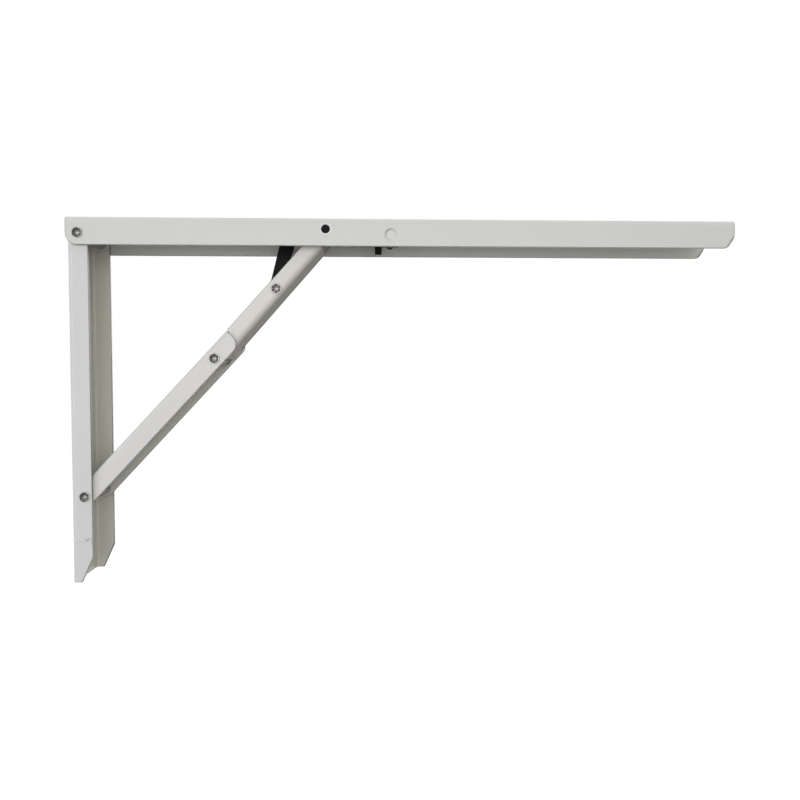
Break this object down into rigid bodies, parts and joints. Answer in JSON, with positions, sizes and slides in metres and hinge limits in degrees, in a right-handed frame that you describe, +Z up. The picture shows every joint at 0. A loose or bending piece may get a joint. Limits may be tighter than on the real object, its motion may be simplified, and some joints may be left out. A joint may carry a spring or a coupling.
{
  "type": "folding table bracket",
  "caption": "White steel folding bracket for a drop leaf or wall table: channel arm on a channel wall leg, held level by a jointed brace with a sliding release bar.",
  "frame": {"origin": "middle of the wall screw row, on the wall plane", "axes": "+X out from the wall along the open arm, +Y across the channels, +Z up"},
  "size_m": [0.5003, 0.0534, 0.273],
  "materials": {
    "white_coat": "smooth powder coat, soft gloss",
    "black_steel": "black oxide, satin",
    "black_bush": "moulded black, satin",
    "zinc": "zinc plated, semi-bright"
  },
  "bodies": {
    "leg": {"wall_leg": "white_coat", "hinge_spacer": "zinc", "foot_rivet": "zinc", "foot_washers": "zinc", "hinge_washers": "zinc"},
    "lower_strut": {"lower_strut": "white_coat", "foot_bush": "zinc", "knee_rivet": "zinc", "knee_washers": "zinc"},
    "upper_strut": {"upper_strut": "white_coat", "knee_bush": "zinc", "link_rivet": "zinc", "link_spacers": "zinc"},
    "arm": {"arm": "white_coat", "arm_hinge_rivets": "zinc", "brace_pin": "black_steel", "brace_sleeves": "zinc", "brace_bush_near": "black_bush", "brace_bush_far": "black_bush", "guide_pin": "black_steel", "guide_bush_near": "black_bush", "guide_bush_far": "black_bush"},
    "release_bar": {"release_bar": "black_steel", "bar_rivet": "black_steel"},
    "lock_link": {"lock_link": "black_steel", "link_end_rivet": "black_steel"}
  },
  "joints": [
    {"name": "foot_pivot", "type": "hinge", "parent": "leg", "child": "lower_strut", "pos_m": [0.01, 0, -0.0674], "axis": [0, -1, 0], "range_deg": [0, 42.46]},
    {"name": "knee", "type": "hinge", "parent": "lower_strut", "child": "upper_strut", "pos_m": [0.10681, 0, 0.03648], "axis": [0, 1, 0], "range_deg": [0, 176.56]},
    {"name": "brace_pivot", "type": "hinge", "parent": "upper_strut", "child": "arm", "pos_m": [0.1912, 0, 0.1326], "axis": [0, -1, 0], "range_deg": [0, 46.9]},
    {"name": "bar_slide", "type": "slide", "parent": "arm", "child": "release_bar", "axis": [1, 0, 0], "range_m": [0, 0.0131]},
    {"name": "link_pivot", "type": "hinge", "parent": "upper_strut", "child": "lock_link", "pos_m": [0.15326, 0, 0.08939], "axis": [0, 1, 0], "range_deg": [0, 28.75]}
  ],
  "couplings": [
    {"joint": "foot_pivot", "follows": "knee", "ratio": 0.2405},
    {"joint": "brace_pivot", "follows": "knee", "ratio": 0.26562},
    {"joint": "link_pivot", "follows": "knee", "ratio": 0.16282},
    {"joint": "bar_slide", "follows": "knee", "m_per_rad": 0.004251}
  ]
}
